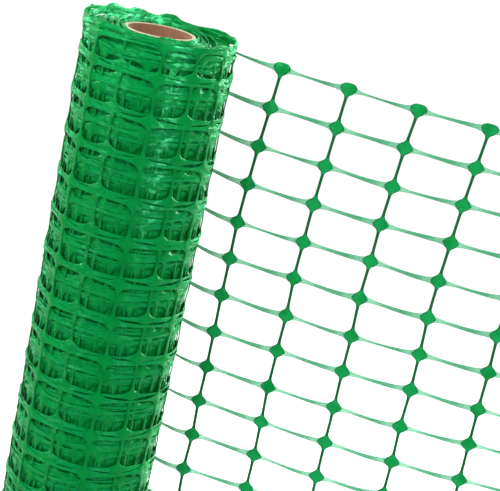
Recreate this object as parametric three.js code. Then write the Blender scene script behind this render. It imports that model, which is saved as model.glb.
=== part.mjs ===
// Roll of plastic safety fencing standing on end, with a loose length of the net drawn off it.
// Millimetres, +Z up, the floor at z = 0.
import * as THREE from "three";

// Net: a flat rectangular mesh with diamond nodes, extruded and drawn in one piece
const PITCH_S = 70; // node columns, along the length of the net
const PITCH_Z = 40; // node rows, across its width
const OPENINGS = 25; // openings across the width
const CAP = 7.5; // selvedge cap beyond the outermost node row
const CAP_HALF = 4.5;
const NODE_HALF_S = 8.5; // diamond node, half its width and half its height
const NODE_HALF_Z = 9;
const STRAND_HALF_S = 1.2; // half the width of an upright strand
const STRAND_HALF_Z = 2.5; // half the height of a level strand
const STRAND_THICK = 1.6;
const NODE_THICK = 3;
const NET_TOP = OPENINGS * PITCH_Z + 2 * CAP;

// Wound roll
const STATIONS = 13; // half pitches round the outermost turn
const TURN = (STATIONS * PITCH_S) / 2;
const ROLL_R = TURN / (2 * Math.PI);
const NODE_BUMP = 0.8;
const BAND_HALF = 4.5; // level strands of two turns, seen as one band
const ROLL_NODE_Z = 11;
const ROLL_STRAND_HALF = 1.8;
const UNDER_HALF = 1.5; // upright strand of the turn beneath
const UNDER_DEPTH = 1.2;
const POCKET_DEPTH = 2.6;
const BORE_R = 36.1;
const RISE = 24.5; // the outer turns sit this much higher than the free net
const SLIP = 2.3; // their node columns sit this much further round
const ROLL_HEM = 2.5; // selvedge beyond the roll's top node row
const ROLL_TOP = RISE + CAP + OPENINGS * PITCH_Z + ROLL_HEM;
const INNER_STEP = 1.8; // the turns inside the outermost one stand on the floor

// Core
const CORE_R = 35.2;
const CORE_WALL = 4;
const CORE_HEIGHT = 1024.3;
const CORE_SEGMENTS = 40;

// Free net: it leaves the roll at a tangent and stands on its edge
const LEAVE_R = 73.5;
const LEAVE_DEG = 58;
const FIRST_COLUMN = 7.7; // way from the tangent point to the first node column
const FREE_COLUMNS = 6; // openings along the free length
const COURSE = [
  { way: 0, heading: -32 },
  { way: 70, heading: -17.9 },
  { way: 140, heading: -19.8 },
  { way: 210, heading: -19.6 },
  { way: 280, heading: -10.2 },
  { way: 350, heading: -10.3 },
];
const STEP = 1; // way between the points where the heading is read

// Give of the free net: its upper corner is drawn out and sags, its middle hangs slack, and it rises to the roll
const GIVE = {
  cornerRows: 5,
  slackRows: 11,
  outCorner: 14.6,
  outSlack: 1.7,
  dropCorner: 1.1,
  dropSlack: 2.6,
  cornerPerColumn: 2.45,
  slackPerColumn: 0.88,
  rise: 9,
};

// Ends of the roll, from the outermost turn's top edge in to the core, down the bore and out again
const END_RINGS = [
  { radius: ROLL_R, height: ROLL_TOP, ragged: 0 },
  { radius: ROLL_R - 1.6, height: ROLL_TOP, ragged: 2.4 },
  { radius: ROLL_R - 5, height: ROLL_TOP - 5, ragged: 1.8 },
  { radius: 54, height: ROLL_TOP - 9, ragged: 1.5 },
  { radius: BORE_R, height: ROLL_TOP - 12, ragged: 0.8 },
  { radius: BORE_R, height: 0, ragged: 0 },
  { radius: ROLL_R - INNER_STEP, height: 0, ragged: 0 },
  { radius: ROLL_R - INNER_STEP, height: RISE, ragged: 0 },
  { radius: ROLL_R, height: RISE, ragged: 0 },
];

const GREEN = new THREE.MeshStandardMaterial({ color: "#239c58", roughness: 0.38, metalness: 0 });
const DEEP_GREEN = new THREE.MeshStandardMaterial({ color: "#1b8c4c", roughness: 0.38, metalness: 0 });
const BOARD = new THREE.MeshStandardMaterial({ color: "#c39468", roughness: 0.9, metalness: 0 });

const smooth = (t) => {
  const u = THREE.MathUtils.clamp(t, 0, 1);
  return u * u * (3 - 2 * u);
};

// Collects flat polygons as triangles, each a fan from its first corner.
function shell() {
  const points = [];
  const add = (...corners) => {
    for (let i = 1; i + 1 < corners.length; i++) {
      points.push(...corners[0], ...corners[i], ...corners[i + 1]);
    }
  };
  const mesh = (name, material) => {
    const geometry = new THREE.BufferGeometry();
    geometry.setAttribute("position", new THREE.Float32BufferAttribute(points, 3));
    geometry.computeVertexNormals();
    const result = new THREE.Mesh(geometry, material);
    result.name = name;
    return result;
  };
  return { add, mesh };
}

// A point on the roll: arc counted from under the first free column, counter-clockwise.
const FIRST_ANGLE = THREE.MathUtils.degToRad(LEAVE_DEG) - FIRST_COLUMN / LEAVE_R + SLIP / ROLL_R;

function onRoll(arc, z, radius) {
  const angle = FIRST_ANGLE + arc / ROLL_R;
  return [radius * Math.cos(angle), radius * Math.sin(angle), z];
}

// The outermost turn shows its nodes at every second station, and the seam has one more.
const isNode = (station) => station === 1 || (station > 0 && station % 2 === 0);
const halfWidth = (station) => (isNode(station) ? NODE_HALF_S : UNDER_HALF);

function pocketSide(station, arc, sign, low, high) {
  if (!isNode(station)) {
    return [
      { arc: arc + sign * UNDER_HALF, z: low + BAND_HALF, under: true },
      { arc: arc + sign * UNDER_HALF, z: high - BAND_HALF, under: true },
    ];
  }
  return [
    { arc: arc + sign * NODE_HALF_S, z: low + BAND_HALF },
    { arc: arc + sign * ROLL_STRAND_HALF, z: low + ROLL_NODE_Z },
    { arc: arc + sign * ROLL_STRAND_HALF, z: high - ROLL_NODE_Z },
    { arc: arc + sign * NODE_HALF_S, z: high - BAND_HALF },
  ];
}

function pocket(roll, left, right, low, high) {
  const floor = ROLL_R - POCKET_DEPTH;
  const under = ROLL_R - UNDER_DEPTH;
  const leftSide = pocketSide(left.station, left.arc, 1, low, high).reverse();
  const rightSide = pocketSide(right.station, right.arc, -1, low, high);
  const rim = [...leftSide, ...rightSide];
  const at = (corner, radius) => onRoll(corner.arc, corner.z, radius);
  roll.add(...rim.map((corner) => at(corner, floor)));
  rim.forEach((p, i) => {
    const q = rim[(i + 1) % rim.length];
    if (p.under && q.under && p.arc === q.arc) {
      roll.add(at(p, under), at(q, under), at(q, floor), at(p, floor));
    } else if (q.under) {
      roll.add(at(p, ROLL_R), at(q, ROLL_R), at(q, under), at(q, floor), at(p, floor));
    } else if (p.under) {
      roll.add(at(q, floor), at(p, floor), at(p, under), at(p, ROLL_R), at(q, ROLL_R));
    } else {
      roll.add(at(p, ROLL_R), at(q, ROLL_R), at(q, floor), at(p, floor));
    }
  });
}

// The upright strand of the turn beneath, set back between two bands.
function underStrand(roll, arc, low, high) {
  const under = ROLL_R - UNDER_DEPTH;
  const [a, b, c, d] = [
    [arc - UNDER_HALF, low + BAND_HALF],
    [arc + UNDER_HALF, low + BAND_HALF],
    [arc + UNDER_HALF, high - BAND_HALF],
    [arc - UNDER_HALF, high - BAND_HALF],
  ];
  roll.add(onRoll(...a, under), onRoll(...b, under), onRoll(...c, under), onRoll(...d, under));
  roll.add(onRoll(...a, ROLL_R), onRoll(...b, ROLL_R), onRoll(...b, under), onRoll(...a, under));
  roll.add(onRoll(...c, ROLL_R), onRoll(...d, ROLL_R), onRoll(...d, under), onRoll(...c, under));
}

function node(roll, arc, line, first, last) {
  const below = first
    ? [[-NODE_HALF_S, -CAP], [NODE_HALF_S, -CAP]]
    : [[-NODE_HALF_S, -BAND_HALF], [-ROLL_STRAND_HALF, -ROLL_NODE_Z],
       [ROLL_STRAND_HALF, -ROLL_NODE_Z], [NODE_HALF_S, -BAND_HALF]];
  const above = last
    ? [[NODE_HALF_S, ROLL_HEM], [-NODE_HALF_S, ROLL_HEM]]
    : [[NODE_HALF_S, BAND_HALF], [ROLL_STRAND_HALF, ROLL_NODE_Z],
       [-ROLL_STRAND_HALF, ROLL_NODE_Z], [-NODE_HALF_S, BAND_HALF]];
  const rim = [...below, ...above];
  if (first) {
    rim.push([-NODE_HALF_S, BAND_HALF]);
  }
  const outline = rim.filter((corner, i) => {
    const next = rim[(i + 1) % rim.length];
    return corner[0] !== next[0] || corner[1] !== next[1];
  });
  const centre = onRoll(arc, line, ROLL_R + NODE_BUMP);
  outline.forEach(([ds, dz], i) => {
    const [es, ez] = outline[(i + 1) % outline.length];
    roll.add(centre, onRoll(arc + ds, line + dz, ROLL_R), onRoll(arc + es, line + ez, ROLL_R));
  });
}

function woundRoll() {
  const roll = shell();
  const stations = Array.from({ length: STATIONS }, (_, station) => ({
    station,
    arc: (station * PITCH_S) / 2,
  }));
  const face = (a0, a1, z0, z1) =>
    roll.add(onRoll(a0, z0, ROLL_R), onRoll(a1, z0, ROLL_R), onRoll(a1, z1, ROLL_R), onRoll(a0, z1, ROLL_R));

  for (let row = 0; row <= OPENINGS; row++) {
    const line = RISE + CAP + row * PITCH_Z;
    const low = row === 0 ? RISE : line - BAND_HALF;
    const high = row === OPENINGS ? ROLL_TOP : line + BAND_HALF;
    stations.forEach((here) => {
      const next = {
        station: (here.station + 1) % STATIONS,
        arc: here.arc + PITCH_S / 2,
      };
      face(here.arc + halfWidth(here.station), next.arc - halfWidth(next.station), low, high);
      if (isNode(here.station)) {
        node(roll, here.arc, line, row === 0, row === OPENINGS);
      } else {
        face(here.arc - UNDER_HALF, here.arc + UNDER_HALF, low, high);
      }
      if (row < OPENINGS) {
        pocket(roll, here, next, line, line + PITCH_Z);
        if (isNode(here.station)) {
          face(
            here.arc - ROLL_STRAND_HALF,
            here.arc + ROLL_STRAND_HALF,
            line + ROLL_NODE_Z,
            line + PITCH_Z - ROLL_NODE_Z,
          );
        } else {
          underStrand(roll, here.arc, line, line + PITCH_Z);
        }
      }
    });
  }

  const rim = stations.flatMap(({ station, arc }) => [arc - halfWidth(station), arc + halfWidth(station)]);
  const ragged = (arc) => {
    const angle = arc / ROLL_R;
    return 0.5 * Math.sin(2 * angle + 0.6) + 0.3 * Math.sin(5 * angle) + 0.2 * Math.cos(9 * angle + 1);
  };
  const onRing = (ring, arc) => onRoll(arc, ring.height + ring.ragged * ragged(arc), ring.radius);
  for (let k = 0; k + 1 < END_RINGS.length; k++) {
    rim.forEach((arc, i) => {
      const next = rim[(i + 1) % rim.length] + (i + 1 === rim.length ? TURN : 0);
      const outer = END_RINGS[k];
      const inner = END_RINGS[k + 1];
      roll.add(onRing(outer, arc), onRing(outer, next), onRing(inner, next), onRing(inner, arc));
    });
  }
  return roll.mesh("wound_roll", DEEP_GREEN);
}

// Where the free net has got to after some way: its place on the floor and its heading.
function headingAt(way) {
  const last = COURSE[COURSE.length - 1];
  if (way <= 0) {
    return COURSE[0].heading;
  }
  if (way >= last.way) {
    return last.heading;
  }
  const i = COURSE.findIndex((stage) => stage.way > way);
  const [from, to] = [COURSE[i - 1], COURSE[i]];
  return THREE.MathUtils.mapLinear(way, from.way, to.way, from.heading, to.heading);
}

function walk(way) {
  const steps = Math.max(1, Math.round(Math.abs(way) / STEP));
  const stride = way / steps;
  const leave = THREE.MathUtils.degToRad(LEAVE_DEG);
  let x = LEAVE_R * Math.cos(leave);
  let y = LEAVE_R * Math.sin(leave);
  for (let i = 0; i < steps; i++) {
    const heading = THREE.MathUtils.degToRad(headingAt((i + 0.5) * stride));
    x += stride * Math.cos(heading);
    y += stride * Math.sin(heading);
  }
  return { x, y, heading: THREE.MathUtils.degToRad(headingAt(way)) };
}

// A point of the free net from its flat pattern: way along it, height across it, side of its middle.
function onNet(way, height, side) {
  const row = (NET_TOP - CAP - height) / PITCH_Z;
  const column = (way - FIRST_COLUMN) / PITCH_S - 1;
  const corner = Math.pow(THREE.MathUtils.clamp(1 - row / GIVE.cornerRows, 0, 1.2), 1.5);
  const slack = Math.sin(Math.PI * THREE.MathUtils.clamp(row / GIVE.slackRows, 0, 1));
  const loose = smooth((way - FIRST_COLUMN) / PITCH_S);
  const out = loose * (GIVE.outCorner * corner + GIVE.outSlack * slack);
  const dropCorner = corner * (GIVE.dropCorner + GIVE.cornerPerColumn * column);
  const dropSlack = slack * (GIVE.dropSlack + GIVE.slackPerColumn * column);
  const near = THREE.MathUtils.clamp(1 - (way - FIRST_COLUMN) / PITCH_S, 0, 1);
  const place = walk(way + out);
  return [
    place.x - side * Math.sin(place.heading),
    place.y + side * Math.cos(place.heading),
    height - loose * (dropCorner + dropSlack) + GIVE.rise * near * near,
  ];
}

// One cell of the flat pattern: its outline, with the caps and half nodes of an edge, and its opening.
function netCell(column, row) {
  const s0 = FIRST_COLUMN + column * PITCH_S;
  const s1 = FIRST_COLUMN + (column + 1) * PITCH_S;
  const z0 = CAP + row * PITCH_Z;
  const z1 = CAP + (row + 1) * PITCH_Z;
  const start = column === 0;
  const end = column === FREE_COLUMNS - 1;
  const corner = (s, z, out, up) => {
    const edge = (start && out < 0) || (end && out > 0);
    const hem = (row === 0 && up < 0) || (row === OPENINGS - 1 && up > 0);
    if (hem) {
      const cap = [
        [s - out * NODE_HALF_S, z + up * STRAND_HALF_Z],
        [s - out * CAP_HALF, z + up * CAP],
      ];
      return edge
        ? [...cap, [s + out * CAP_HALF, z + up * CAP], [s + out * NODE_HALF_S, z], [s + out * STRAND_HALF_S, z - up * NODE_HALF_Z]]
        : [...cap, [s, z + up * CAP]];
    }
    return edge
      ? [[s + out * NODE_HALF_S, z], [s + out * STRAND_HALF_S, z - up * NODE_HALF_Z]]
      : [[s, z]];
  };
  const outline = [
    ...corner(s0, z0, -1, -1).reverse(),
    ...corner(s1, z0, 1, -1),
    ...corner(s1, z1, 1, 1).reverse(),
    ...corner(s0, z1, -1, 1),
  ];
  const opening = [
    [s0 + STRAND_HALF_S, z0 + NODE_HALF_Z],
    [s0 + STRAND_HALF_S, z1 - NODE_HALF_Z],
    [s0 + NODE_HALF_S, z1 - STRAND_HALF_Z],
    [s1 - NODE_HALF_S, z1 - STRAND_HALF_Z],
    [s1 - STRAND_HALF_S, z1 - NODE_HALF_Z],
    [s1 - STRAND_HALF_S, z0 + NODE_HALF_Z],
    [s1 - NODE_HALF_S, z0 + STRAND_HALF_Z],
    [s0 + NODE_HALF_S, z0 + STRAND_HALF_Z],
  ];
  return { outline, opening };
}

function freeNet() {
  const net = shell();
  const edges = new Map();
  const isCentre = ([s, z]) =>
    Math.abs(Math.round((s - FIRST_COLUMN) / PITCH_S) * PITCH_S + FIRST_COLUMN - s) < 1e-6 &&
    Math.abs(Math.round((z - CAP) / PITCH_Z) * PITCH_Z + CAP - z) < 1e-6;
  const at = (p, side) => onNet(p[0], p[1], (side * (isCentre(p) ? NODE_THICK : STRAND_THICK)) / 2);
  for (let column = 0; column < FREE_COLUMNS; column++) {
    for (let row = 0; row < OPENINGS; row++) {
      const { outline, opening } = netCell(column, row);
      const flat = [...outline, ...opening];
      const toVector = ([s, z]) => new THREE.Vector2(s, z);
      const cut = THREE.ShapeUtils.triangulateShape(outline.map(toVector), [opening.map(toVector)]);
      cut.forEach((triple) => {
        const [a, b, c] = triple.map((i) => flat[i]);
        const turn = (b[0] - a[0]) * (c[1] - a[1]) - (c[0] - a[0]) * (b[1] - a[1]);
        const [p, q, r] = turn > 0 ? [a, b, c] : [a, c, b];
        net.add(at(p, -1), at(q, -1), at(r, -1));
        net.add(at(r, 1), at(q, 1), at(p, 1));
        [[p, q], [q, r], [r, p]].forEach(([from, to]) => {
          const back = `${to}|${from}`;
          if (edges.has(back)) {
            edges.delete(back);
          } else {
            edges.set(`${from}|${to}`, [from, to]);
          }
        });
      });
    }
  }
  edges.forEach(([from, to]) => net.add(at(to, -1), at(from, -1), at(from, 1), at(to, 1)));
  return net.mesh("free_net", GREEN);
}

function coreTube() {
  const inner = CORE_R - CORE_WALL;
  const profile = [
    new THREE.Vector2(inner, 0),
    new THREE.Vector2(CORE_R, 0),
    new THREE.Vector2(CORE_R, CORE_HEIGHT),
    new THREE.Vector2(inner, CORE_HEIGHT),
    new THREE.Vector2(inner, 0),
  ];
  const tube = new THREE.Mesh(new THREE.LatheGeometry(profile, CORE_SEGMENTS), BOARD);
  tube.rotation.x = Math.PI / 2;
  tube.name = "core_tube";
  return tube;
}

const standing = new THREE.Group();
standing.add(coreTube(), woundRoll(), freeNet());
const box = new THREE.Box3().setFromObject(standing, true);
standing.position.x = -(box.min.x + box.max.x) / 2;
standing.position.y = -(box.min.y + box.max.y) / 2;

const fence = new THREE.Group();
fence.add(standing);

export default fence;
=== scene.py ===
# Roll of plastic safety fencing standing on end, with a loose length of net drawn off it.
import math

import bpy
import numpy as np
from mathutils import Matrix, Vector


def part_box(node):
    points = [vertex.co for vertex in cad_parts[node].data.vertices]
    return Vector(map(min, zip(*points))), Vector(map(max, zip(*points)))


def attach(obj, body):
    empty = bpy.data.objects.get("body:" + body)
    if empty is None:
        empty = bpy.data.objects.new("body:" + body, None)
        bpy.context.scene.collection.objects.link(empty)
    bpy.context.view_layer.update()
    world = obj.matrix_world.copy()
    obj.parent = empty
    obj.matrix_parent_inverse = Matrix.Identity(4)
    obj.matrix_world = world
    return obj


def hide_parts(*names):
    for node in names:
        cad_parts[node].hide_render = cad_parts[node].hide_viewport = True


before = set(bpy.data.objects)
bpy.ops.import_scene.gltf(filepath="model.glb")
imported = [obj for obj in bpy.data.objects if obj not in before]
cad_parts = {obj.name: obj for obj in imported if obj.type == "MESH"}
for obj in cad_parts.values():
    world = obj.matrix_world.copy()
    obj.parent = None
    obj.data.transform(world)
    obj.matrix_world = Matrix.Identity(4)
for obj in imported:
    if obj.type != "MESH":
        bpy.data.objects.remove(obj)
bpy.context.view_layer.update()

MM = 0.001

# Net pattern, millimetres, as in the CAD source
PITCH_S = 70.0
PITCH_Z = 40.0
OPENINGS = 25
CAP = 7.5
NET_TOP = OPENINGS * PITCH_Z + 2 * CAP
TOP_LINE = NET_TOP - CAP
ALL_ROWS = list(range(OPENINGS))

# Where the net leaves the roll, and the way from there to its first column of nodes
LEAVE_R = 73.4
LEAVE_DEG = 58.0
LEAVE = math.radians(LEAVE_DEG)
FIRST_COLUMN = 7.7
FREE_COLUMNS = 6
# Course of the free net. Columns: way along it in millimetres, heading in degrees
COURSE = ((0.0, -32.0), (70.0, -17.9), (140.0, -19.8), (210.0, -19.6), (280.0, -10.2), (350.0, -10.3))

# How the free net gives at its upper corner: along the net, down, and down again for each further column
CORNER_ROWS = 5.0
OUT_CORNER = 14.6
DROP_CORNER = 1.1
CORNER_PER_COLUMN = 2.45
CORNER_MOST = 1.2
CORNER_CURVE = 1.5
# The same for its slack, which reaches further down
SLACK_ROWS = 11.0
OUT_SLACK = 1.7
DROP_SLACK = 2.6
SLACK_PER_COLUMN = 0.88
# Height at the seam over the free net's other columns
FREE_RISE = 9.0

# Turns of fine net, of simpler net, and of strips that show at the two ends only
FINE_TURNS = 3
DEEP_TURNS = 11
HEART_TURNS = 20
# Most columns in one piece of simpler net
PIECE_COLUMNS = 22
# How far the wound net has slid back along its course
SLIP = 4.6
# Depth of the net under the outermost layer. Columns: turns back from the seam, millimetres
DEPTH = ((0, 0), (1, 0.7), (2, 1.3), (3, 1.9), (14, 4.6), (34, 36.0), (36, 37.0))
# The roll is a little out of round on the side where the net comes off
BULGE = 2.2
BULGE_DEG = -5.0
BULGE_SHARPNESS = 6
BULGE_TURNS = 0.5
CORE_R = 35.2
CORE_WALL = 4.0
CORE_HEIGHT = 1024.3
CORE_CHAMFER = 0.5

# Height of the wound net over the free net. Columns: turns back from the seam, millimetres
RISE = (
    (0.0, 9.0), (0.34, 30.0), (0.59, 24.5), (0.84, 20.5), (1.0, 24.0), (1.34, 31.0),
    (1.59, 29.5), (1.84, 26.0), (2.15, 18.0), (2.6, 10.0), (3.6, 15.0), (4.6, 4.0),
    (5.6, 12.0), (6.6, 18.0), (7.6, 7.0), (8.6, 1.8), (9.6, 14.0), (10.6, 10.0),
    (11.6, 16.5), (12.6, 3.0), (13.6, 12.0), (15.0, 9.0), (20.0, 3.0), (36.0, 0.8),
)
# Extra height of the wound net's top edge. Columns: turns back from the seam, millimetres
TOP_EDGE = (
    (0.0, 0.0), (0.13, -1.0), (0.21, -1.5), (0.34, -8.0), (0.44, -5.0), (0.58, -6.0),
    (0.61, -9.0), (0.67, -6.0), (0.82, -4.0), (0.95, -4.0), (1.07, -12.0), (1.13, -10.0),
    (1.21, -8.0), (1.34, -14.0), (1.44, -11.0), (1.58, -11.0), (1.61, -13.0), (1.75, -9.0),
    (1.85, -5.0), (2.0, -7.0), (2.1, -4.5), (2.35, 0.5), (2.6, 5.5), (2.9, 4.5),
    (3.6, -8.0), (4.6, -4.0), (5.6, -2.0), (6.6, -14.0), (7.6, 2.0), (8.6, -3.0),
    (9.6, -7.0), (10.6, -7.0), (11.6, -9.0), (12.6, -6.0), (13.6, -3.0), (15.0, 1.0),
    (20.0, 7.0), (36.0, 13.9),
)
# The top edge gains this height over its last millimetres, and stands up in one direction
EDGE_REACH = 38.0
EDGE_FADE = 34.0
BACK_DEG = 105.0
BACK_LIFT = 3.0
# It is ragged over a little less, the more so in the inner turns
RAGGED_REACH = 26.0
RAGGED_FADE = 30.0
INNER_FROM = 2.0
INNER_FADE = 2.0
INNER_RAGGED = 0.8
# Its cap is bent over from here up: how much lower and further in, for each millimetre
BEND_FROM = 2.0
BEND_DOWN = 0.75
BEND_DOWN_LESS_BEHIND = 0.65
BEND_IN = 0.6

# Places where the outer turns are crumpled, and painted with pale glints along the creases; at 125 degrees a
# painted glow of light through the top edge behind. Columns: direction and its spread in degrees, strength
# above and below a height, and more strength at the top edge
CRUSH_AND_GLINT = (
    (-73.0, 7.0, 0.9, 0.12, 0.3),
    (-17.0, 14.0, 1.0, 0.65, 1.0),
    (-163.0, 15.0, 0.6, 0.45, 0.3),
    (-113.0, 9.0, 0.25, 0.25, 0.0),
    (125.0, 32.0, 0.0, 0.0, 6.0),
)
CRUSH_HEIGHT = 810.0
CRUSH_FADE = 90.0
CRUSH_EDGE_REACH = 16.0
CRUSH_EDGE_FADE = 12.0

low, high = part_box("core_tube")
AXIS_X = (low[0] + high[0]) / 2
AXIS_Y = (low[1] + high[1]) / 2

# Camera: metres and radians, and the focal length in pixels of the picture's width
CAMERA_BACK = 1.5160
CAMERA_HEIGHT = 1.2857
CAMERA_YAW = 0.0832
CAMERA_PITCH = 0.2903
CAMERA_ROLL = 0.2097
FOCAL_PX = 1600.0
PICTURE_W = 500.0
SENSOR = 36.0


def add_object(name, data):
    obj = bpy.data.objects.new(name, data)
    bpy.context.scene.collection.objects.link(obj)
    return obj


def make_camera():
    data = bpy.data.cameras.new("camera")
    data.sensor_fit = "HORIZONTAL"
    data.sensor_width = SENSOR
    data.lens = FOCAL_PX / PICTURE_W * SENSOR
    data.clip_end = 100
    cam = add_object("camera", data)
    cy, sy = math.cos(CAMERA_YAW), math.sin(CAMERA_YAW)
    cp, sp = math.cos(CAMERA_PITCH), math.sin(CAMERA_PITCH)
    forward = np.array([sy * cp, cy * cp, -sp])
    right = np.array([cy, -sy, 0.0])
    up = np.cross(right, forward)
    cr, sr = math.cos(CAMERA_ROLL), math.sin(CAMERA_ROLL)
    right, up = cr * right + sr * up, -sr * right + cr * up
    matrix = np.eye(4)
    matrix[:3, 0], matrix[:3, 1], matrix[:3, 2] = right, up, -forward
    matrix[:3, 3] = (AXIS_X, AXIS_Y - CAMERA_BACK, CAMERA_HEIGHT)
    cam.matrix_world = Matrix(matrix.tolist())
    bpy.context.scene.camera = cam


make_camera()


def smooth(t):
    """Smooth step from 0 to 1."""
    u = np.clip(t, 0.0, 1.0)
    return u * u * (3 - 2 * u)


def look_up(table, at, n=1):
    """Column n of a table, at places along its first column."""
    columns = list(zip(*table))
    return np.interp(at, columns[0], columns[n])


def running_total(steps):
    return np.concatenate([[0.0], np.cumsum(steps)])


# Course of the net
FREE_REACH = 620.0
WAY_STEP = 0.5
WAY = np.arange(0.0, FREE_REACH, WAY_STEP)
HEADING = np.radians(look_up(COURSE, WAY))
STEP_HEADING = np.radians(look_up(COURSE, WAY[:-1] + WAY_STEP / 2))
FREE_X = LEAVE_R * math.cos(LEAVE) + running_total(np.cos(STEP_HEADING) * WAY_STEP)
FREE_Y = LEAVE_R * math.sin(LEAVE) + running_total(np.sin(STEP_HEADING) * WAY_STEP)

TURN_STEP = 0.01
TURN = np.arange(0.0, DEPTH[-1][0], TURN_STEP)
STEP_RADIUS = LEAVE_R - look_up(DEPTH, TURN[:-1] + TURN_STEP / 2)
# Way wound up by each of these turns
BACK = running_total(TURN_STEP * 2 * math.pi * STEP_RADIUS)


def turned(way):
    """Turns gone round the roll at a way back from the point where the net leaves it."""
    return np.interp(-way, BACK, TURN)


def course(way):
    """Place and heading of the net's middle at a way along it; negative ways are wound."""
    turns = turned(way)
    phi = LEAVE + 2 * math.pi * turns
    radius = LEAVE_R - look_up(DEPTH, turns)
    bulge = np.maximum(np.cos(phi - math.radians(BULGE_DEG)), 0) ** BULGE_SHARPNESS
    radius = radius + BULGE * bulge * smooth(turns / BULGE_TURNS)
    wound = way < 0
    x = np.where(wound, radius * np.cos(phi), np.interp(way, WAY, FREE_X))
    y = np.where(wound, radius * np.sin(phi), np.interp(way, WAY, FREE_Y))
    heading = np.where(wound, phi - math.pi / 2, np.interp(way, WAY, HEADING))
    return x, y, heading


# Waves of the surfaces. Each has a seed, and its length and height in millimetres
SHARED_WAVE = (11, 60.0, 0.35)
OWN_WAVE = (12, 26.0, 0.30)
FREE_WAVE = (13, 160.0, 1.2)
CREASE_WAVE = (14, 8.0, 0.55)
RAGGED_WAVE = (21, 110.0, 1.2)
LEAN_WAVE = (22, 75.0, 1.3)
BODY_WAVE = (31, 9.0, 0.3)
WAVE_COUNT = 6
WAVE_SPREAD = (0.7, 1.6)
MOST_PHASE = 6.28


def waves(a, b, wave):
    """Smooth uneven field over two coordinates: a few waves of random direction and like length."""
    seed, length, high = wave
    local = np.random.default_rng(seed)
    total = np.zeros_like(a)
    for _ in range(WAVE_COUNT):
        direction = local.uniform(0, math.pi)
        k = 2 * math.pi / (length * local.uniform(*WAVE_SPREAD))
        across = a * math.cos(direction) + b * math.sin(direction)
        total += np.sin(k * across + local.uniform(0, MOST_PHASE))
    return high * (total / math.sqrt(WAVE_COUNT))


# Corner of an opening, from the middle of an upright strand to the middle of a level one. Columns: place
# across the upright strand and above the level one, half thickness, and film, which is how thin it is drawn.
# The first four are for the strands' middle line, the others for the opening's edge
CORNER = np.array([
    (0.0, 20.0, 0.62, 0.0, 1.45, 20.0, 0.42, 0.0),
    (0.0, 15.5, 0.62, 0.0, 1.45, 15.5, 0.42, 0.0),
    (0.0, 12.0, 0.63, 0.0, 1.5, 12.0, 0.42, 0.0),
    (0.0, 9.0, 0.7, 0.3, 1.6, 9.3, 0.44, 0.3),
    (0.0, 6.0, 0.9, 0.7, 2.1, 7.4, 0.48, 0.7),
    (0.0, 3.2, 1.1, 1.0, 3.1, 5.9, 0.5, 1.0),
    (0.0, 0.0, 1.2, 1.0, 4.6, 4.9, 0.5, 1.0),
    (3.2, 0.0, 1.1, 1.0, 6.2, 3.9, 0.42, 1.0),
    (7.0, 0.0, 0.7, 1.0, 7.8, 3.15, 0.32, 1.0),
    (9.0, 0.0, 0.42, 1.0, 10.0, 2.75, 0.24, 1.0),
    (13.5, 0.0, 0.33, 0.9, 13.5, 2.4, 0.2, 1.0),
    (17.5, 0.0, 0.32, 0.7, 17.5, 2.2, 0.2, 0.8),
    (22.0, 0.0, 0.34, 0.45, 22.0, 2.05, 0.22, 0.6),
    (28.0, 0.0, 0.38, 0.3, 28.0, 1.9, 0.24, 0.45),
    (35.0, 0.0, 0.42, 0.25, 35.0, 1.8, 0.25, 0.4),
])
# Its row in the middle of the node, and the rows that the simpler, flatter net keeps
NODE_ROW = 6
DEEP_ROWS = (0, 3, 6, 8, 10, 12, 14)
DEEP_FLAT = 0.6
# Rings of points from the middle line to the edge
FINE_RINGS = (0.0, 0.55, 1.0)
DEEP_RINGS = (0.0, 1.0)
# Edge of the selvedge beyond the last level strand: place along the net and above the strand, for the rows of
# that table from the node on
CAP_EDGE = np.array([
    (0.0, 6.5), (3.0, 6.4), (5.6, 5.8), (8.2, 3.5), (13.0, 2.1),
    (17.5, 1.8), (22.0, 1.6), (28.0, 1.4), (35.0, 1.3),
])
CAP_EDGE_WOUND = np.array([
    (0.0, 7.5), (3.0, 7.4), (5.6, 6.8), (8.0, 4.8), (12.0, 3.4),
    (17.5, 2.9), (22.0, 2.6), (28.0, 2.4), (35.0, 2.3),
])
CAP_HALF = 0.25
CAP_NODE_HALF = 0.5
# Edge of the half nodes at the net's cut end: how far out, from the middle of an upright strand to the node
END_EDGE = (1.0, 1.0, 1.1, 1.5, 2.6, 4.6, 7.6)
END_HALF = 0.45
END_FILM = 0.5
# Points that round to the same place, at so many steps to the millimetre, are one
WELD_STEPS = 100


def quarter(kind):
    """Rings of one opening's corner, from the strands' middle lines to the opening's edge."""
    fine = kind == "fine"
    corner = CORNER if fine else CORNER[list(DEEP_ROWS)]
    mid, mid_half, mid_film = corner[:, 0:2], corner[:, 2], corner[:, 3]
    edge, edge_half, edge_film = corner[:, 4:6], corner[:, 6], corner[:, 7]
    if not fine:
        edge_half, mid_half = edge_half * DEEP_FLAT, mid_half * DEEP_FLAT
    rings = []
    for t in FINE_RINGS if fine else DEEP_RINGS:
        round_off = math.sqrt(max(1 - t * t, 0.0))
        half = edge_half + (mid_half - edge_half) * round_off
        rings.append((mid + (edge - mid) * t, half, mid_film + (edge_film - mid_film) * t))
    return rings


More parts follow.
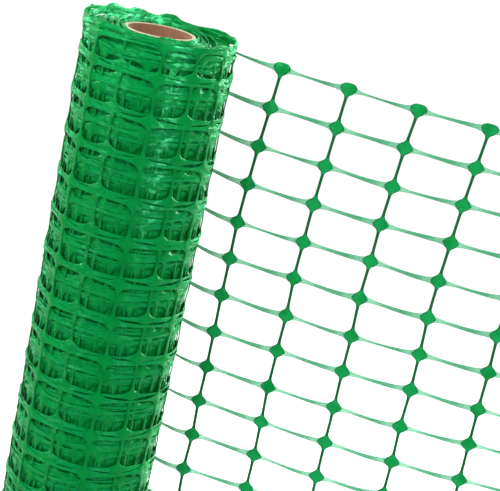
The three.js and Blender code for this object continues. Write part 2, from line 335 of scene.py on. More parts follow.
def cell_template(kind):
    """Points (u, v), half thickness and film of one cell, and its quads."""
    rings = quarter(kind)
    n = len(rings[0][0])
    loop = 4 * (n - 1)
    points, half, film, quads = [], [], [], []
    for ring_uv, ring_half, ring_film in rings:
        for corner in range(4):
            right, upper = corner in (1, 2), corner in (2, 3)
            for k in range(n - 1) if corner % 2 == 0 else range(n - 1, 0, -1):
                u, v = ring_uv[k]
                points.append((PITCH_S - u if right else u, PITCH_Z - v if upper else v))
                half.append(ring_half[k])
                film.append(ring_film[k])
    for r in range(len(rings) - 1):
        for k in range(loop):
            a, b = r * loop + k, r * loop + (k + 1) % loop
            quads.append((a, b, b + loop, a + loop))
    return np.array(points), np.array(half), np.array(film), np.array(quads)


def strip(inner, outer):
    """Points, half thickness, film and quads of a strip between two lines of (u, v, half thickness, film)."""
    n = len(inner)
    table = np.array(inner + outer)
    quads = [(k, k + 1, k + 1 + n, k + n) for k in range(n - 1)]
    return table[:, 0:2], table[:, 2], table[:, 3], np.array(quads)


def cap_template(kind, wound):
    """Selvedge strip beyond the last level strand of one cell, for the top edge (v upwards)."""
    mid_uv, mid_half, mid_film = quarter(kind)[0]
    edge_uv = CAP_EDGE_WOUND if wound else CAP_EDGE
    start = NODE_ROW
    if kind == "deep":
        start = DEEP_ROWS.index(NODE_ROW)
        edge_uv = edge_uv[[row - NODE_ROW for row in DEEP_ROWS[start:]]]
    mid_uv, mid_half, mid_film = mid_uv[start:], mid_half[start:], mid_film[start:]
    edge_half = np.full(len(edge_uv), CAP_HALF)
    edge_half[:2] = CAP_NODE_HALF
    edge_film = np.ones(len(edge_uv)) if wound else mid_film
    lines = []
    for uv, half, film in ((mid_uv, mid_half, mid_film), (edge_uv, edge_half, edge_film)):
        left = [(u, v, h, f) for (u, v), h, f in zip(uv, half, film)]
        right = [(PITCH_S - u, v, h, f) for u, v, h, f in reversed(left[:-1])]
        lines.append(left + right)
    return strip(*lines)


def end_template():
    """Half nodes beyond the last upright strand of one cell, out to one side."""
    mid_uv, mid_half, _ = quarter("fine")[0]
    n = NODE_ROW + 1
    lines = []
    for us, halves in ((np.zeros(n), mid_half[:n]), (END_EDGE, np.full(n, END_HALF))):
        lower = [(u, v, h, END_FILM) for u, v, h in zip(us, mid_uv[:n, 1], halves)]
        upper = [(u, PITCH_Z - v, h, f) for u, v, h, f in lower[1:]]
        lines.append(lower[::-1] + upper)
    return strip(*lines)


def flat_pattern(first, last, rows, kind, top_cap=True, bottom_cap=True, far_end=False):
    """Flat net from column line first to last, over the given rows counted from the top.
    Gives points (s, z), half thickness, film and quads, with shared points merged."""
    cell = cell_template(kind)
    cap = cap_template(kind, first < 0)
    end = end_template()
    parts = []
    for column in range(first, last):
        s0 = FIRST_COLUMN + column * PITCH_S
        for row in rows:
            z0 = TOP_LINE - (row + 1) * PITCH_Z
            parts.append((cell, s0, z0, 1))
            if far_end and column == last - 1:
                parts.append((end, s0 + PITCH_S, z0, 1))
        if top_cap:
            parts.append((cap, s0, TOP_LINE - rows[0] * PITCH_Z, 1))
        if bottom_cap:
            parts.append((cap, s0, TOP_LINE - (rows[-1] + 1) * PITCH_Z, -1))
    s = np.concatenate([s0 + template[0][:, 0] for template, s0, _, _ in parts])
    z = np.concatenate([z0 + up * template[0][:, 1] for template, _, z0, up in parts])
    half = np.concatenate([template[1] for template, *_ in parts])
    film = np.concatenate([template[2] for template, *_ in parts])
    starts = np.cumsum([0] + [len(template[0]) for template, *_ in parts[:-1]])
    quads = np.concatenate([template[3] + start for (template, *_), start in zip(parts, starts)])

    keys = np.round(np.stack([s, z], 1) * WELD_STEPS).astype(np.int64)
    _, first_of, inverse = np.unique(keys, axis=0, return_index=True, return_inverse=True)
    s, z, half, film = s[first_of], z[first_of], half[first_of], film[first_of]
    quads = inverse.reshape(-1)[quads]
    a, b, c = quads[:, 0], quads[:, 1], quads[:, 2]
    area = (s[b] - s[a]) * (z[c] - z[a]) - (s[c] - s[a]) * (z[b] - z[a])
    quads = np.where((area < 0)[:, None], quads[:, ::-1], quads)
    return s, z, half, film, quads


# A place this little before a line of nodes, as a share of the pitch, counts as on it
ON_LINE = 1e-6

# Random give of every node, and of the level strand that goes on from it; nodes by column and row
NODE_ROWS = OPENINGS + 2
NODE_COLUMNS = 300
COLUMN_ZERO = 290
NODE_JITTER = 0.45
SAG_SPREAD = 0.7
MOST_TWIST = 0.6
# Sag of the level strands. Columns: row from the top, millimetres
SAG = ((0, 0.3), (3, 0.6), (5, 1.5), (26, 1.5))
# The lowest point of a strand lies past its middle, and wound strands sag less
SAG_LEAN = 1.7
WOUND_SAG = 0.35
# Level strands are drawn thin after a node and stay wide before the next one. Columns: place between the two
# nodes, width, and how much more film
DRAWN = (
    (0.0, 1.0, 0.0), (0.12, 0.95, -0.05), (0.28, 0.8, 0.15), (0.5, 1.0, 0.0),
    (0.68, 1.12, -0.2), (0.88, 1.05, -0.25), (1.0, 1.0, -0.15),
)
# Within this distance of its middle line, points are a level strand's own, and sag with it fully
STRAND_REACH = 4.0
SAG_REACH = 3.0
SAG_FADE = 9.0
# The net turns from wound to free over this way after its seam
FREE_FROM = 20.0
FREE_FADE = 60.0
ROLL_TO = 10.0
ROLL_FADE = 30.0
# Creases: how deep at least, with crumpling, on firm plastic and with film
CREASE_LEAST = 0.35
CREASE_CRUSHED = 1.1
CREASE_FIRM = 0.4
CREASE_FILM = 0.8
# Radius at which the waves shared by all turns are measured
SHARED_R = 70.0

rng = np.random.default_rng(7)
jitter_s = rng.normal(0, NODE_JITTER, (NODE_COLUMNS, NODE_ROWS))
jitter_z = rng.normal(0, NODE_JITTER, (NODE_COLUMNS, NODE_ROWS))
sag = look_up(SAG, np.arange(NODE_ROWS)) + rng.uniform(-SAG_SPREAD, SAG_SPREAD, (NODE_COLUMNS, NODE_ROWS))
twist = rng.uniform(-MOST_TWIST, MOST_TWIST, (NODE_COLUMNS, NODE_ROWS))


def blend_nodes(table, i, j, fi, fj):
    """Value between four nodes, from a table of the nodes' values."""
    wi, wj = smooth(fi), smooth(fj)
    i1, j1 = np.clip(i + 1, 0, NODE_COLUMNS - 1), np.clip(j + 1, 0, NODE_ROWS - 1)
    return (
        table[i, j] * (1 - wi) * (1 - wj)
        + table[i1, j] * wi * (1 - wj)
        + table[i, j1] * (1 - wi) * wj
        + table[i1, j1] * wi * wj
    )


def crumpled_and_glinting(phi, height, z):
    """How crumpled the net is at a direction and height, 0 to 1, and more at the top edge; the same share
    sets its painted glints.
    """
    total = np.zeros_like(phi)
    upper = smooth((height - CRUSH_HEIGHT) / CRUSH_FADE)
    edge = smooth((z - (TOP_LINE - CRUSH_EDGE_REACH)) / CRUSH_EDGE_FADE)
    for deg, spread, above, below, rim in CRUSH_AND_GLINT:
        off = np.degrees(phi) - deg
        off = (off + 180.0) % 360.0 - 180.0
        amount = below + (above - below) * upper + rim * edge
        total = np.maximum(total, np.exp(-((off / spread) ** 2)) * amount)
    return total


def strand_give(z, i, along, free):
    """Sag, width and twist of the level strands: change of height, and distance out of the net."""
    near_row = np.round((TOP_LINE - z) / PITCH_Z)
    off = z - (TOP_LINE - near_row * PITCH_Z)
    line = np.clip(near_row.astype(int), 0, NODE_ROWS - 1)
    on_strand = 1 - smooth((np.abs(off) - SAG_REACH) / SAG_FADE)
    close = np.abs(off) < STRAND_REACH
    slack = sag[i, line] * np.sin(math.pi * along**SAG_LEAN) * (WOUND_SAG + (1 - WOUND_SAG) * free)
    wider = look_up(DRAWN, along) - 1
    angle = twist[i, line] * np.sin(math.pi * along) * on_strand
    narrower = (1 - np.cos(angle)) * on_strand
    change = (wider - narrower) * off * close - slack * on_strand
    return change, off * np.sin(angle) * on_strand * close


def free_give(column, row):
    """How the free net gives at its corner and by its slack: distance along it, and change of height."""
    corner = np.clip(1 - row / CORNER_ROWS, 0, CORNER_MOST) ** CORNER_CURVE
    droop = np.sin(math.pi * np.clip(row / SLACK_ROWS, 0, 1))
    loose = smooth(column)
    further = column - 1
    corner_drop = corner * (DROP_CORNER + CORNER_PER_COLUMN * further)
    slack_drop = droop * (DROP_SLACK + SLACK_PER_COLUMN * further)
    return loose * (OUT_CORNER * corner + OUT_SLACK * droop), -loose * (corner_drop + slack_drop)


def top_edge(way, turns, phi, z, on_roll):
    """Ragged and bent over top edge of the wound net: change of height, and distance out of the net."""
    inner = smooth((turns - INNER_FROM) / INNER_FADE)
    edge = smooth((z - (TOP_LINE - EDGE_REACH)) / EDGE_FADE)
    top = smooth((z - (TOP_LINE - RAGGED_REACH)) / RAGGED_FADE) * on_roll * (1 + INNER_RAGGED * inner)
    behind = np.maximum(np.cos(phi - math.radians(BACK_DEG)), 0)
    bent = np.maximum(z - TOP_LINE - BEND_FROM, 0) * on_roll
    still = np.zeros_like(way)
    change = edge * (on_roll * look_up(TOP_EDGE, turns) + BACK_LIFT * behind * inner)
    change = change + top * waves(way, still, RAGGED_WAVE)
    change = change - (BEND_DOWN - BEND_DOWN_LESS_BEHIND * behind**2) * bent
    return change, top * waves(way, still, LEAN_WAVE) - BEND_IN * bent * (1 - behind**2)


def drape(s, z, half, film, side):
    """Points of the draped net in millimetres about the roll's axis, and how crumpled it is there, which also
    sets its painted glints.
    """
    column = (s - FIRST_COLUMN) / PITCH_S
    row = (TOP_LINE - z) / PITCH_Z
    i = np.floor(column + ON_LINE).astype(int)
    j = np.floor(row + ON_LINE).astype(int)
    fi = np.clip(column - i, 0, 1)
    fj = np.where(j < 0, 0.0, np.clip(row - j, 0, 1))
    i = np.clip(i + COLUMN_ZERO, 0, NODE_COLUMNS - 2)
    j = np.clip(j, 0, NODE_ROWS - 2)
    free = smooth((s - FREE_FROM) / FREE_FADE)
    strand_z, strand_out = strand_give(z, i, fi, free)
    free_s, free_z = free_give(column, row)

    way = s + blend_nodes(jitter_s, i, j, fi, fj) + free_s - SLIP * smooth(-column)
    turns = turned(way)
    seam = FREE_RISE * np.clip(1 - column, 0, 1) ** 2
    rise = np.where(way < 0, look_up(RISE, turns), seam)
    height = z + blend_nodes(jitter_z, i, j, fi, fj) + strand_z + free_z + rise

    # the layers beneath press unevenness out, and each turn adds its own
    x, y, heading = course(way)
    phi = np.arctan2(y, x)
    on_roll = smooth(-(way - ROLL_TO) / ROLL_FADE)
    crush_and_glint = crumpled_and_glinting(phi, height, z) * on_roll
    crease = CREASE_LEAST + CREASE_CRUSHED * np.minimum(crush_and_glint, 1.0)
    crease = crease * (CREASE_FIRM + CREASE_FILM * film) * waves(way, height, CREASE_WAVE)
    pressed = waves(phi * SHARED_R, height, SHARED_WAVE) + waves(way, height, OWN_WAVE) + crease
    swell = on_roll * pressed + free * waves(way, height, FREE_WAVE)

    edge_z, edge_out = top_edge(way, turns, phi, z, on_roll)
    lift = side * half + strand_out + swell + edge_out
    return np.stack([x - lift * np.sin(heading), y + lift * np.cos(heading), height + edge_z], 1), crush_and_glint


# A node is a diamond, thick and firm, that reaches this far along the net and across it
NODE_S = 8.3
NODE_Z = 10.0
NODE_Z_FULL = 7.0
CAP_S = 7.8
# Beyond it, the upright strands are marked as firm as a node, which also gives them the painted shade of the
# node rims
UPRIGHT_FROM = 8.5
UPRIGHT_REACH = 1.8
UPRIGHT_MARK = -0.06
# The selvedge starts this far beyond the middle of the last level strand
CAP_FROM = 0.1


def node_mark(s, z):
    """Less than 0 inside a node or an upright strand, and rising evenly outward through its edge."""
    fi = np.mod((s - FIRST_COLUMN) / PITCH_S, 1.0)
    off_column = np.minimum(fi, 1 - fi) * PITCH_S
    off_row = np.abs(z - TOP_LINE + np.round((TOP_LINE - z) / PITCH_Z).clip(0, OPENINGS) * PITCH_Z)
    mark = off_column / NODE_S + np.minimum(off_row, NODE_Z_FULL) / NODE_Z - 1
    in_cap = (z > TOP_LINE + CAP_FROM) | (z < TOP_LINE - OPENINGS * PITCH_Z - CAP_FROM)
    mark = np.where(in_cap, off_column / CAP_S - 1, mark)
    return np.where((off_row > UPRIGHT_FROM) & (off_column < UPRIGHT_REACH), UPRIGHT_MARK, mark)


def shell_faces(s, quads, open_lines):
    """Both sides of a flat pattern and the walls between them, except along open lines."""
    n = len(s)
    edges = np.concatenate([quads[:, [k, (k + 1) % 4]] for k in range(4)])
    key = np.sort(edges, axis=1)
    _, inverse, counts = np.unique(key, axis=0, return_inverse=True, return_counts=True)
    rim = edges[counts[inverse.reshape(-1)] == 1]
    for line in open_lines:
        on_line = (np.abs(s[rim] - line) < 1 / WELD_STEPS).all(axis=1)
        rim = rim[~on_line]
    walls = np.stack([rim[:, 1], rim[:, 0], rim[:, 0] + n, rim[:, 1] + n], 1)
    # quads run anticlockwise over (s, z): their front faces away from the side that is +
    return np.concatenate([quads[:, ::-1], quads + n, walls[:, ::-1]])


def add_mesh(name, points, faces, material):
    """Smooth mesh object of points in millimetres about the roll's axis."""
    place = np.asarray(points, dtype=float) * MM
    place[:, 0] += AXIS_X
    place[:, 1] += AXIS_Y
    mesh = bpy.data.meshes.new(name)
    mesh.from_pydata(place.tolist(), [], np.asarray(faces).tolist())
    mesh.polygons.foreach_set("use_smooth", np.ones(len(mesh.polygons), dtype=bool))
    mesh.update()
    obj = add_object(name, mesh)
    obj.data.materials.append(material)
    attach(obj, "root")
    return obj


def add_values(obj, name, values):
    """Values of the mesh's points, for its material to read."""
    data = obj.data.attributes.new(name, "FLOAT", "POINT")
    data.data.foreach_set("value", values.astype(np.float32).ravel())


def net_piece(name, pattern, material, open_lines=()):
    """Closes the flat pattern into a draped solid net; its cut ends on open_lines stay open,
    because the next piece goes on from there."""
    s, z, half, film, quads = pattern
    front, crush_and_glint = drape(s, z, half, film, 1.0)
    back, _ = drape(s, z, half, film, -1.0)
    obj = add_mesh(name, np.concatenate([front, back]), shell_faces(s, quads, open_lines), material)
    drawn = look_up(DRAWN, np.mod((s - FIRST_COLUMN) / PITCH_S, 1.0), 2)
    # The crumple share also sets where pale glints are painted on the net
    for attribute_name, values in (
        ("film", np.clip(film + drawn, 0, 1)),
        ("node", node_mark(s, z)),
        ("crumple_and_glint", crush_and_glint),
    ):
        add_values(obj, attribute_name, np.concatenate([values, values]))
    flat = np.stack([s, z, np.zeros(len(s))], 1) * MM
    data = obj.data.attributes.new("flat", "FLOAT_VECTOR", "POINT")
    data.data.foreach_set("vector", np.concatenate([flat, flat]).astype(np.float32).ravel())
    return obj


# Materials
def node_material(name):
    material = bpy.data.materials.new(name)
    material.use_nodes = True
    tree = material.node_tree
    shader = tree.nodes["Principled BSDF"]
    return material, tree, shader


def feed(tree, value, socket):
    """Links a socket to a socket, or sets it to a number or a colour."""
    if hasattr(value, "is_linked"):
        tree.links.new(value, socket)
    elif isinstance(value, (int, float)):
        socket.default_value = value
    else:
        socket.default_value = (*value, 1.0)


def noise(tree, coords, scale, detail, roughness):
    node = tree.nodes.new("ShaderNodeTexNoise")
    node.inputs["Scale"].default_value = scale
    node.inputs["Detail"].default_value = detail
    node.inputs["Roughness"].default_value = roughness
    tree.links.new(coords, node.inputs["Vector"])
    return node.outputs["Fac"]


def stretched(tree, coords, scale):
    node = tree.nodes.new("ShaderNodeMapping")
    node.inputs["Scale"].default_value = scale
    tree.links.new(coords, node.inputs["Vector"])
    return node.outputs["Vector"]


def bumped(tree, shader, source, strength, distance):
    node = tree.nodes.new("ShaderNodeBump")
    node.inputs["Strength"].default_value = strength
    node.inputs["Distance"].default_value = distance
    tree.links.new(source, node.inputs["Height"])
    tree.links.new(node.outputs["Normal"], shader.inputs["Normal"])


def ramp(tree, source, stops):
    """Colours by a value. Stops are (value, colour)."""
    node = tree.nodes.new("ShaderNodeValToRGB")
    node.color_ramp.interpolation = "EASE"
    elements = node.color_ramp.elements
    while len(elements) < len(stops):
        elements.new(0.5)
    for element, (place, colour) in zip(elements, stops):
        element.position = place
        element.color = (*colour, 1.0)
    tree.links.new(source, node.inputs["Fac"])
    return node.outputs["Color"]


def grey(value):
    return (value, value, value)


def mix_colour(tree, factor, first, second, blend="MIX"):
    node = tree.nodes.new("ShaderNodeMix")
    node.data_type = "RGBA"
    node.blend_type = blend
    for value, socket in ((factor, node.inputs[0]), (first, node.inputs[6]), (second, node.inputs[7])):
        feed(tree, value, socket)
    return node.outputs[2]


def mix_shader(tree, factor, first, second):
    node = tree.nodes.new("ShaderNodeMixShader")
    for value, socket in zip((factor, first, second), node.inputs):
        tree.links.new(value, socket)
    return node.outputs["Shader"]


def map_range(tree, source, from_min, from_max, to_min=0.0, to_max=1.0):
    node = tree.nodes.new("ShaderNodeMapRange")
    node.inputs["From Min"].default_value = from_min
    node.inputs["From Max"].default_value = from_max
    node.inputs["To Min"].default_value = to_min
    node.inputs["To Max"].default_value = to_max
    tree.links.new(source, node.inputs["Value"])
    return node.outputs["Result"]


def math_node(tree, operation, first, second):
    node = tree.nodes.new("ShaderNodeMath")
    node.operation = operation
    feed(tree, first, node.inputs[0])
    feed(tree, second, node.inputs[1])
    return node.outputs["Value"]


def multiply(tree, first, second):
    return math_node(tree, "MULTIPLY", first, second)


def attribute(tree, name, output="Fac"):
    node = tree.nodes.new("ShaderNodeAttribute")
    node.attribute_name = name
    return node.outputs[output]


def object_coords(tree):
    return tree.nodes.new("ShaderNodeTexCoord").outputs["Object"]


# Colours of the net: dark, middle and pale tones of a node; the painted shade on its rim and the uprights; a
# strand; the film it flares into; a painted glint along a crease. The wound net's tones are a darker copy of
# the free net's, painted shade
FREE_TONES = (
    (0.003, 0.20, 0.038), (0.007, 0.265, 0.066), (0.011, 0.31, 0.082),
    (0.008, 0.065, 0.028), (0.034, 0.260, 0.125), (0.050, 0.40, 0.20), (0.2, 0.8, 0.5),
)
WOUND_SHADED_TONES = (
    (0.000, 0.175, 0.028), (0.000, 0.21, 0.036), (0.001, 0.24, 0.045),
    (0.000, 0.115, 0.018), (0.000, 0.222, 0.041), (0.003, 0.32, 0.076), (0.12, 0.84, 0.38),
)
GLINT = (0.25, 1.0, 0.55, 1.0)
# Share of the clear film's clearness that firm strands have too
CLEAR_LEAST = 0.35


def painted_crease_glints(tree, colour, outside, pale_tone):
    """Paints pale glints as streaks along the strands where the net is crumpled, fainter on the nodes; partly
    the paleness of creased film.
    """
    coords = stretched(tree, attribute(tree, "flat", "Vector"), (0.55, 1.0, 1.0))
    streak = noise(tree, coords, scale=190.0, detail=2.0, roughness=0.6)
    crease = ramp(tree, streak, ((0.50, grey(0.1)), (0.62, grey(1))))
    pale = multiply(tree, attribute(tree, "crumple_and_glint"), crease)
    pale = multiply(tree, pale, map_range(tree, outside, 0.0, 1.0, to_min=0.45))
    return mix_colour(tree, pale, colour, pale_tone)


def net_material(name, tones, rim_shade_strength, film_clear, glow, wrinkle):
    """Glossy plastic: firm, with painted shade in the uprights and round the nodes, pale and letting light
    through where drawn thin.
    """
    dark, middle, light, rim_shade_tone, strand_tone, film_tone, glint_tone = tones
    material, tree, shader = node_material(name)
    coords = object_coords(tree)
    mottle = noise(tree, coords, scale=55.0, detail=4.0, roughness=0.55)
    base = ramp(tree, mottle, ((0.30, dark), (0.55, middle), (0.80, light)))
    outside = map_range(tree, attribute(tree, "node"), -0.02, 0.05)
    around = map_range(tree, attribute(tree, "node"), -0.5, 0.5)
    # Painted shade: a dark line inside the edge of each node, and over the uprights, where the rounded
    # plastic turns from the light
    rim = ramp(tree, around, ((0.34, grey(0)), (0.43, grey(1)), (0.475, grey(1)), (0.52, grey(0))))
    thin = multiply(tree, attribute(tree, "film"), outside)
    strand = mix_colour(tree, thin, strand_tone, film_tone)
    colour = mix_colour(tree, outside, base, strand)
    colour = mix_colour(tree, multiply(tree, rim, rim_shade_strength), colour, rim_shade_tone)
    colour = painted_crease_glints(tree, colour, outside, glint_tone)

    tree.links.new(colour, shader.inputs["Base Color"])
    rough = map_range(tree, mottle, 0.3, 0.7, to_min=0.14, to_max=0.26)
    tree.links.new(rough, shader.inputs["Roughness"])
    fold = noise(tree, coords, scale=170.0, detail=3.0, roughness=0.55)
    bumped(tree, shader, fold, strength=0.6, distance=wrinkle)
    shader.inputs["Specular IOR Level"].default_value = 0.11
    shader.inputs["Specular Tint"].default_value = GLINT
    through = tree.nodes.new("ShaderNodeBsdfTranslucent")
    tree.links.new(colour, through.inputs["Color"])
    lit_through = map_range(tree, thin, 0.0, 1.0, to_min=glow / 2, to_max=glow)
    surface = mix_shader(tree, lit_through, shader.outputs["BSDF"], through.outputs["BSDF"])
    if film_clear > 0:
        clear = tree.nodes.new("ShaderNodeBsdfTransparent")
        least = multiply(tree, outside, film_clear * CLEAR_LEAST)
        more = multiply(tree, thin, film_clear * (1 - CLEAR_LEAST))
        seen_through = math_node(tree, "ADD", least, more)
        surface = mix_shader(tree, seen_through, surface, clear.outputs["BSDF"])
    tree.links.new(surface, tree.nodes["Material Output"].inputs["Surface"])
    return material


def body_material():
    """Packed turns: painted shade, darker between the strands that stand out."""
    material, tree, shader = node_material("wound_depth")
    grain = noise(tree, object_coords(tree), scale=90.0, detail=4.0, roughness=0.6)
    deep = ramp(tree, grain, ((0.3, (0.0, 0.12, 0.018)), (0.7, (0.001, 0.19, 0.034))))
    near = ramp(tree, grain, ((0.3, (0.001, 0.21, 0.042)), (0.7, (0.003, 0.29, 0.066))))
    stands = map_range(tree, attribute(tree, "shade_tone"), 0.15, 0.7)
    tree.links.new(mix_colour(tree, stands, deep, near), shader.inputs["Base Color"])
    shader.inputs["Roughness"].default_value = 0.5
    shader.inputs["Specular IOR Level"].default_value = 0.02
    bumped(tree, shader, grain, strength=1.0, distance=0.002)
    return material


def board_material(name, dark, pale, roughness):
    """Board of short fibres, a little clouded."""
    material, tree, shader = node_material(name)
    coords = object_coords(tree)
    fibre = noise(tree, stretched(tree, coords, (1.0, 1.0, 1.6)), scale=650.0, detail=4.0, roughness=0.6)
    cloud = noise(tree, coords, scale=30.0, detail=3.0, roughness=0.5)
    base = ramp(tree, fibre, ((0.3, dark), (0.7, pale)))
    shade = ramp(tree, cloud, ((0.3, grey(0.82)), (0.7, grey(1.0))))
    tree.links.new(mix_colour(tree, 1.0, base, shade, "MULTIPLY"), shader.inputs["Base Color"])
    shader.inputs["Roughness"].default_value = roughness
    bumped(tree, shader, fibre, strength=0.4, distance=0.0004)
    return material


FREE_PLASTIC = net_material(
    "free_plastic", FREE_TONES, rim_shade_strength=0.85, film_clear=0.48, glow=0.2, wrinkle=0.0005
)
WOUND_PLASTIC = net_material(
    "wound_plastic", WOUND_SHADED_TONES, rim_shade_strength=0.25, film_clear=0.0, glow=0.45, wrinkle=0.0016
)


# Net pieces
def first_column_of(turns):
    """Column line nearest to a number of turns back from the seam."""
    return int(round((-np.interp(turns, TURN, BACK) - FIRST_COLUMN) / PITCH_S))


def line_at(column):
    return FIRST_COLUMN + column * PITCH_S


free_net = net_piece(
    "free_length",
    flat_pattern(0, FREE_COLUMNS, ALL_ROWS, "fine", far_end=True),
    FREE_PLASTIC,
    open_lines=(FIRST_COLUMN,),
)
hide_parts("free_net")

turn_pieces = []


def add_turns(name, start, end, kind):
    """Wound net of the whole width between two column lines."""
    pattern = flat_pattern(start, end, ALL_ROWS, kind)
    piece = net_piece(name, pattern, WOUND_PLASTIC, open_lines=(line_at(start), line_at(end)))
    turn_pieces.append((piece, end - start))


line = 0
for n in range(FINE_TURNS):
    start = first_column_of(n + 1)
    add_turns(f"outer_turn_{n + 1}", start, line, "fine")
    line = start
LAST_FULL = first_column_of(FINE_TURNS + DEEP_TURNS)
while line > LAST_FULL:
    start = max(line - PIECE_COLUMNS, LAST_FULL)
    add_turns(f"inner_turns_{len(turn_pieces) - FINE_TURNS + 1}", start, line, "deep")
    line = start

HEART_END = first_column_of(FINE_TURNS + DEEP_TURNS + HEART_TURNS)
for name, row in (("top", 0), ("foot", OPENINGS - 1)):
    pattern = flat_pattern(HEART_END, LAST_FULL, [row], "deep", row == 0, row > 0)
    ends = (line_at(HEART_END), line_at(LAST_FULL))
    piece = net_piece(f"heart_turns_{name}", pattern, WOUND_PLASTIC, open_lines=ends)


# Depth of the roll: the body of its tightly packed turns
BODY_R = LEAVE_R - 5.8
BODY_AROUND = 190
BODY_UP = 480
BODY_FOOT = 6.0
BODY_TOP = 1020.0
# Its end: rings of points, their reach from the side and the core, dish, ridges and painted shade tone
END_RINGS = 12
END_FROM_SIDE = 1.5
END_FROM_CORE = 0.6
END_DISH = 8.0
END_RIDGE = 2.0
RIDGE_RATE = 2.4
RIDGE_SPIRAL = 3
END_SHADE_TONE = 0.3
# Packed turns that make up its side. Columns: height of their rows over the free net's, how far out they lie,
# and how many columns they are shifted round the roll
PACKED = (
    (8.5, 1.0, 0.0), (12.0, 0.7, 0.37), (15.5, 0.9, 0.68),
    (19.0, 0.8, 0.21), (28.0, 0.6, 0.52), (36.5, 0.85, 0.85),
)
# How their rows rise and fall. Columns: millimetres, waves round the roll, and shift for each further turn
PACKED_WANDER = ((1.3, 2, 1), (0.7, 5, 2), (0.5, 9, 3))
STRAND_HALF = 2.1
UPRIGHT_HALF = 1.3
UPRIGHT_OUT = 0.7
NODE_HALF = 6.0
NODE_FLARE = 1.6


def off_centre(value, pitch):
    """Distance from the nearest of the lines that lie a pitch apart."""
    return np.mod(value + pitch / 2, pitch) - pitch / 2


def packed_relief(phi, z):
    """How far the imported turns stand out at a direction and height, millimetres."""
    relief = np.zeros_like(phi)
    around = 2 * math.pi * BODY_R
    pitch = around / round(around / PITCH_S)
    for n, (rise, out, shift) in enumerate(PACKED):
        line = rise + sum(high * np.sin(count * phi + step * n) for high, count, step in PACKED_WANDER)
        row_off = off_centre(z - CAP - line, PITCH_Z)
        column_off = off_centre(phi * BODY_R - shift * pitch, pitch)
        flare = 1 + NODE_FLARE * np.exp(-((column_off / NODE_HALF) ** 2))
        level = np.exp(-((row_off / (STRAND_HALF * flare)) ** 2))
        upright = UPRIGHT_OUT * np.exp(-((column_off / UPRIGHT_HALF) ** 2))
        relief = np.maximum(relief, out * np.maximum(level, upright))
    return relief


def packed_body(name, material):
    """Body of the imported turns: their strands stand out on its side, and its end is dished and ridged."""
    k = np.arange(BODY_AROUND)
    phi = 2 * math.pi * k / BODY_AROUND
    side_phi, side_z = np.meshgrid(phi, np.linspace(BODY_FOOT, BODY_TOP, BODY_UP), indexing="ij")
    relief = packed_relief(side_phi, side_z)
    side_r = BODY_R + relief + waves(side_phi * BODY_R, side_z, BODY_WAVE)
    inward = np.linspace(BODY_R - END_FROM_SIDE, CORE_R + END_FROM_CORE, END_RINGS)
    end_phi, end_r = np.meshgrid(phi, inward, indexing="ij")
    dish = (BODY_R - end_r) / (BODY_R - CORE_R)
    ridge = END_RIDGE * np.sin(end_r * RIDGE_RATE + RIDGE_SPIRAL * np.sin(end_phi))
    foot = np.full_like(end_r, BODY_FOOT)
    ring_r = np.concatenate([end_r[:, ::-1], side_r, end_r], 1)
    ring_z = np.concatenate([foot, side_z, BODY_TOP - END_DISH * dish + ridge], 1)
    # Painted shade: the body is painted darker where its relief is low, between the strands, and on its ends
    ring_shade_tone = np.concatenate([np.zeros_like(end_r), relief, np.full_like(end_r, END_SHADE_TONE)], 1)
    n = ring_r.shape[1]
    cos_phi, sin_phi = np.cos(phi)[:, None], np.sin(phi)[:, None]
    points = np.stack([ring_r * cos_phi, ring_r * sin_phi, ring_z], 2).reshape(-1, 3)
    a = k[:, None] * n + np.arange(n)[None, :]
    b = np.roll(a, -1, 1)
    c = np.roll(b, -1, 0)
    d = np.roll(a, -1, 0)
    obj = add_mesh(name, points, np.stack([a, d, c, b], 2).reshape(-1, 4), material)
    add_values(obj, "shade_tone", ring_shade_tone)
    return obj


depth = packed_body("wound_depth", body_material())
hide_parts("wound_roll")


# Core
CORE_SEGMENTS = 128
SHARP_DEG = 35
# Faces of the rim: this close to the top, and turned up this much
RIM_BAND = 0.7
RIM_FACING = 0.3


def lathe(name, profile, segments, material):
    """Closed body of revolution about the roll's axis from a closed profile of (radius, height)."""
    points, faces = [], []
    n = len(profile)
    for k in range(segments):
        angle = 2 * math.pi * k / segments
        points += [(r * math.cos(angle), r * math.sin(angle), z) for r, z in profile]
        following = (k + 1) % segments
        for i in range(n):
            j = (i + 1) % n
            faces.append((k * n + i, following * n + i, following * n + j, k * n + j))
    obj = add_mesh(name, points, faces, material)
    obj.data.set_sharp_from_angle(angle=math.radians(SHARP_DEG))
    return obj


core = lathe(
    "core_board",
    [
        (CORE_R - CORE_WALL, 0.0),
        (CORE_R, 0.0),
        (CORE_R, CORE_HEIGHT - CORE_CHAMFER),
        (CORE_R - CORE_CHAMFER, CORE_HEIGHT),
        (CORE_R - CORE_WALL + CORE_CHAMFER, CORE_HEIGHT),
        (CORE_R - CORE_WALL, CORE_HEIGHT - CORE_CHAMFER),
    ],
    CORE_SEGMENTS,
    board_material("core_board", (0.235, 0.089, 0.049), (0.35, 0.143, 0.082), 0.85),
)
core.data.materials.append(board_material("core_rim", (0.35, 0.30, 0.18), (0.46, 0.40, 0.26), 0.9))
for polygon in core.data.polygons:
    if polygon.center.z > (CORE_HEIGHT - RIM_BAND) * MM and polygon.normal.z > RIM_FACING:
        polygon.material_index = 1
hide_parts("core_tube")


# Floor
FLOOR_HALF = 30.0
# Painted contact shadow: its tone is lower near the part. Columns: share of FLOOR_FADE from the middle, tone
FLOOR_FADE = 2.0
FLOOR_SHADOW_TONES = ((0.15, 0.66), (0.65, 0.97))


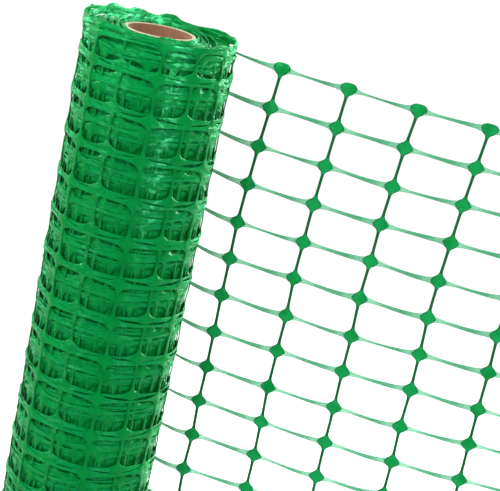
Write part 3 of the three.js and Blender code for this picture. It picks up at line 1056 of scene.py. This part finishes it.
def make_floor():
    mesh = bpy.data.meshes.new("floor")
    corners = [(x * FLOOR_HALF, y * FLOOR_HALF, 0) for x, y in ((-1, -1), (1, -1), (1, 1), (-1, 1))]
    mesh.from_pydata(corners, [], [(0, 1, 2, 3)])
    floor = add_object("floor", mesh)
    material, tree, shader = node_material("floor_with_painted_shadow")
    reach = tree.nodes.new("ShaderNodeVectorMath")
    reach.operation = "LENGTH"
    tree.links.new(object_coords(tree), reach.inputs[0])
    spread = map_range(tree, reach.outputs["Value"], 0.0, FLOOR_FADE)
    # Painted contact shadow: the floor is darker near the part
    shade_tone = ramp(tree, spread, [(place, grey(value)) for place, value in FLOOR_SHADOW_TONES])
    tree.links.new(shade_tone, shader.inputs["Base Color"])
    shader.inputs["Roughness"].default_value = 0.9
    floor.data.materials.append(material)


# Lamps and world. All lamps but the core's are tinted, as the glints on the net are
MINT = (0.66, 1.0, 0.82)
SKY = 1.08
# Columns: name, place from the roll's axis and above the floor in metres, size, power
AREA_LAMPS = (
    ("key", (-1.3, -1.4, 2.2), (0.08, 0.3), 15.0),
    ("fill", (0.9, -1.5, 2.3), (0.08, 0.25), 10.0),
    ("left_edge", (-1.7, 0.5, 1.5), (0.15, 1.0), 26.0),
    ("right_edge", (1.5, 1.0, 1.4), (0.25, 1.4), 60.0),
)
LAMP_TARGET = 0.8
# Narrow lamp on the mouth of the core
SPOT_PLACE = (-0.9, -0.9, 2.2)
SPOT_DEG = 2.3
SPOT_BLEND = 0.7
SPOT_RADIUS = 0.1
SPOT_POWER = 700.0


def add_lamp(name, data, place, target_height):
    """Lamp at a place from the roll's axis, aimed at the axis."""
    lamp = add_object(name, data)
    location = np.array((AXIS_X + place[0], AXIS_Y + place[1], place[2]))
    lamp.location = location
    aim = np.array((AXIS_X, AXIS_Y, target_height)) - location
    lamp.rotation_euler = Vector(aim).to_track_quat("-Z", "Y").to_euler()


def make_light():
    world = bpy.data.worlds.new("studio")
    bpy.context.scene.world = world
    world.use_nodes = True
    sky = world.node_tree.nodes["Background"]
    sky.inputs["Color"].default_value = (1.0, 1.0, 1.0, 1.0)
    sky.inputs["Strength"].default_value = SKY
    for name, place, size, power in AREA_LAMPS:
        data = bpy.data.lights.new(name, "AREA")
        data.shape = "RECTANGLE"
        data.size, data.size_y = size
        data.energy = power
        data.color = MINT
        add_lamp(name, data, place, LAMP_TARGET)
    data = bpy.data.lights.new("core", "SPOT")
    data.energy = SPOT_POWER
    data.spot_size = math.radians(SPOT_DEG)
    data.spot_blend = SPOT_BLEND
    data.shadow_soft_size = SPOT_RADIUS
    add_lamp("core", data, SPOT_PLACE, CORE_HEIGHT * MM)


make_floor()
make_light()
bpy.context.scene.view_settings.view_transform = "Standard"
